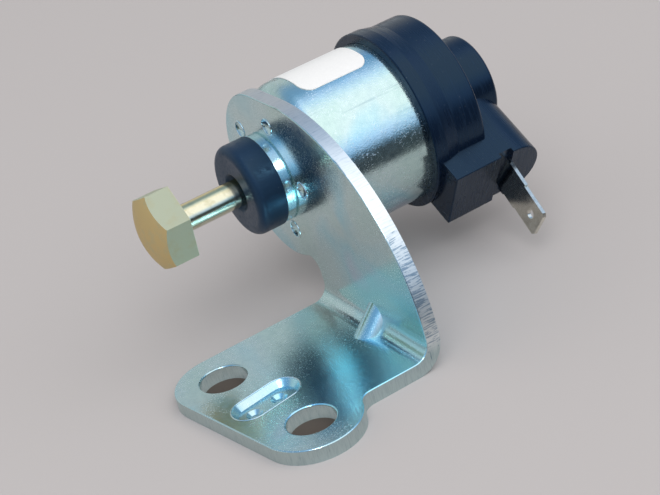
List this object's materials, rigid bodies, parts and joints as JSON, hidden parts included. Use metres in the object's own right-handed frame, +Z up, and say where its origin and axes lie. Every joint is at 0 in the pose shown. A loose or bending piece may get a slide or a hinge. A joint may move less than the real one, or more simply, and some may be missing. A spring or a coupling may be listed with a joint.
{
  "type": "idle stop solenoid",
  "caption": "Push-type solenoid in a round can on a folded bracket, with an adjustable hexagon brass tip, a moulded rear cap and one spade terminal.",
  "frame": {"origin": "centre of the foot's first bolt hole, at the foot's underside, which is the face that bolts down", "axes": "+X along the solenoid's axis from the brass tip to the connector, +Z up from the foot, along the bolt holes"},
  "size_m": [0.09, 0.0765, 0.0473],
  "materials": {
    "zinc_plate": "bright zinc plating with a clear blue passivate, fine spangle, semi-gloss",
    "zinc_can": "bright zinc plating on drawn steel, smoother than the bracket",
    "zinc_bush": "turned and zinc plated",
    "brass": "turned brass, bright",
    "tube_brass": "drawn brass tube",
    "boot_rubber": "smooth black rubber",
    "moulded_black": "black moulding, satin to gloss",
    "iron": "plain soft iron, turned",
    "spring_steel": "spring wire",
    "washer_steel": "plain washer",
    "stop_brass": "non-magnetic washer",
    "nylon_blue": "nylon pellet",
    "fibre": "vulcanised fibre",
    "bobbin_nylon": "natural nylon",
    "copper_wire": "enamelled copper winding",
    "tape": "polyester tape",
    "sleeve": "insulating sleeve",
    "solder": "soft solder",
    "gasket_rubber": "black gasket",
    "tin_blade": "tin-plated brass, bright",
    "white_label": "bare white paper sticker"
  },
  "bodies": {
    "housing": {"bracket": "zinc_plate", "can": "zinc_can", "nose_bush": "zinc_bush", "boot": "boot_rubber", "return_spring": "spring_steel", "stop_washer": "stop_brass", "guide_tube": "tube_brass", "tube_plug": "iron", "front_washer": "fibre", "bobbin": "bobbin_nylon", "winding": "copper_wire", "winding_tape": "tape", "flux_plate": "iron", "lead_sleeve": "sleeve", "live_lead": "copper_wire", "ground_lead": "copper_wire", "ground_solder": "solder", "live_solder": "solder", "gasket": "gasket_rubber", "terminal_blade": "tin_blade", "cap": "moulded_black", "label": "white_label"},
    "plunger": {"armature": "iron", "lock_pellet": "nylon_blue", "spring_seat": "washer_steel"},
    "screw": {"tip_screw": "brass"}
  },
  "joints": [
    {"name": "plunger_slide", "type": "slide", "parent": "housing", "child": "plunger", "axis": [1, 0, 0], "range_m": [0, 0.005], "stiffness_N_per_m": 150, "springref_m": -0.01, "deforming": ["return_spring"]},
    {"name": "screw_turn", "type": "hinge", "parent": "plunger", "child": "screw", "pos_m": [0.04, 0.0198, 0.0279], "axis": [1, 0, 0], "continuous": true}
  ]
}
